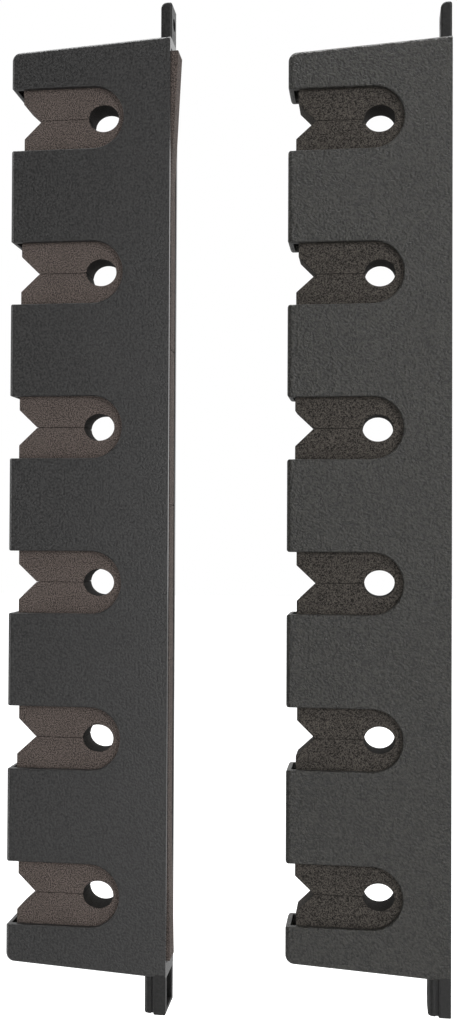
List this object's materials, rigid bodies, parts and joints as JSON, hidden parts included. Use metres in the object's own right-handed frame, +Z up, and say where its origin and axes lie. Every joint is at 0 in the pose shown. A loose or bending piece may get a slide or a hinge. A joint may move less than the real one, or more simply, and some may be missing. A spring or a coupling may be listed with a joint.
{
  "type": "wall cue rack",
  "caption": "Pair of upright wall racks with U slots and foam grips that hold pool cues or rods lying across them, each fastened by a top lug and a bottom foot.",
  "frame": {"origin": "on the wall plane of the right rack, at the middle of its channel's height and thickness", "axes": "+X out of the open back into the wall, +Y along the cues from one side face to the other, +Z up the rack"},
  "size_m": [0.1515, 0.0255, 0.3455],
  "materials": {
    "shell_plastic": "fine moulded grain, satin",
    "foam": "closed-cell foam, fine cells on cut faces"
  },
  "bodies": {
    "right_rack": {"right_shell": "shell_plastic", "right_foam_grip_1": "foam", "right_foam_grip_2": "foam", "right_foam_grip_3": "foam", "right_foam_grip_4": "foam", "right_foam_grip_5": "foam", "right_foam_grip_6": "foam"},
    "left_rack": {"left_shell": "shell_plastic", "left_foam_grip_1": "foam", "left_foam_grip_2": "foam", "left_foam_grip_3": "foam", "left_foam_grip_4": "foam", "left_foam_grip_5": "foam", "left_foam_grip_6": "foam"}
  },
  "joints": [
    {"name": "second_rack_place", "type": "slide", "parent": "right_rack", "child": "left_rack", "axis": [0.1599, -0.9871, 0], "range_m": [0, 0.5972]}
  ]
}
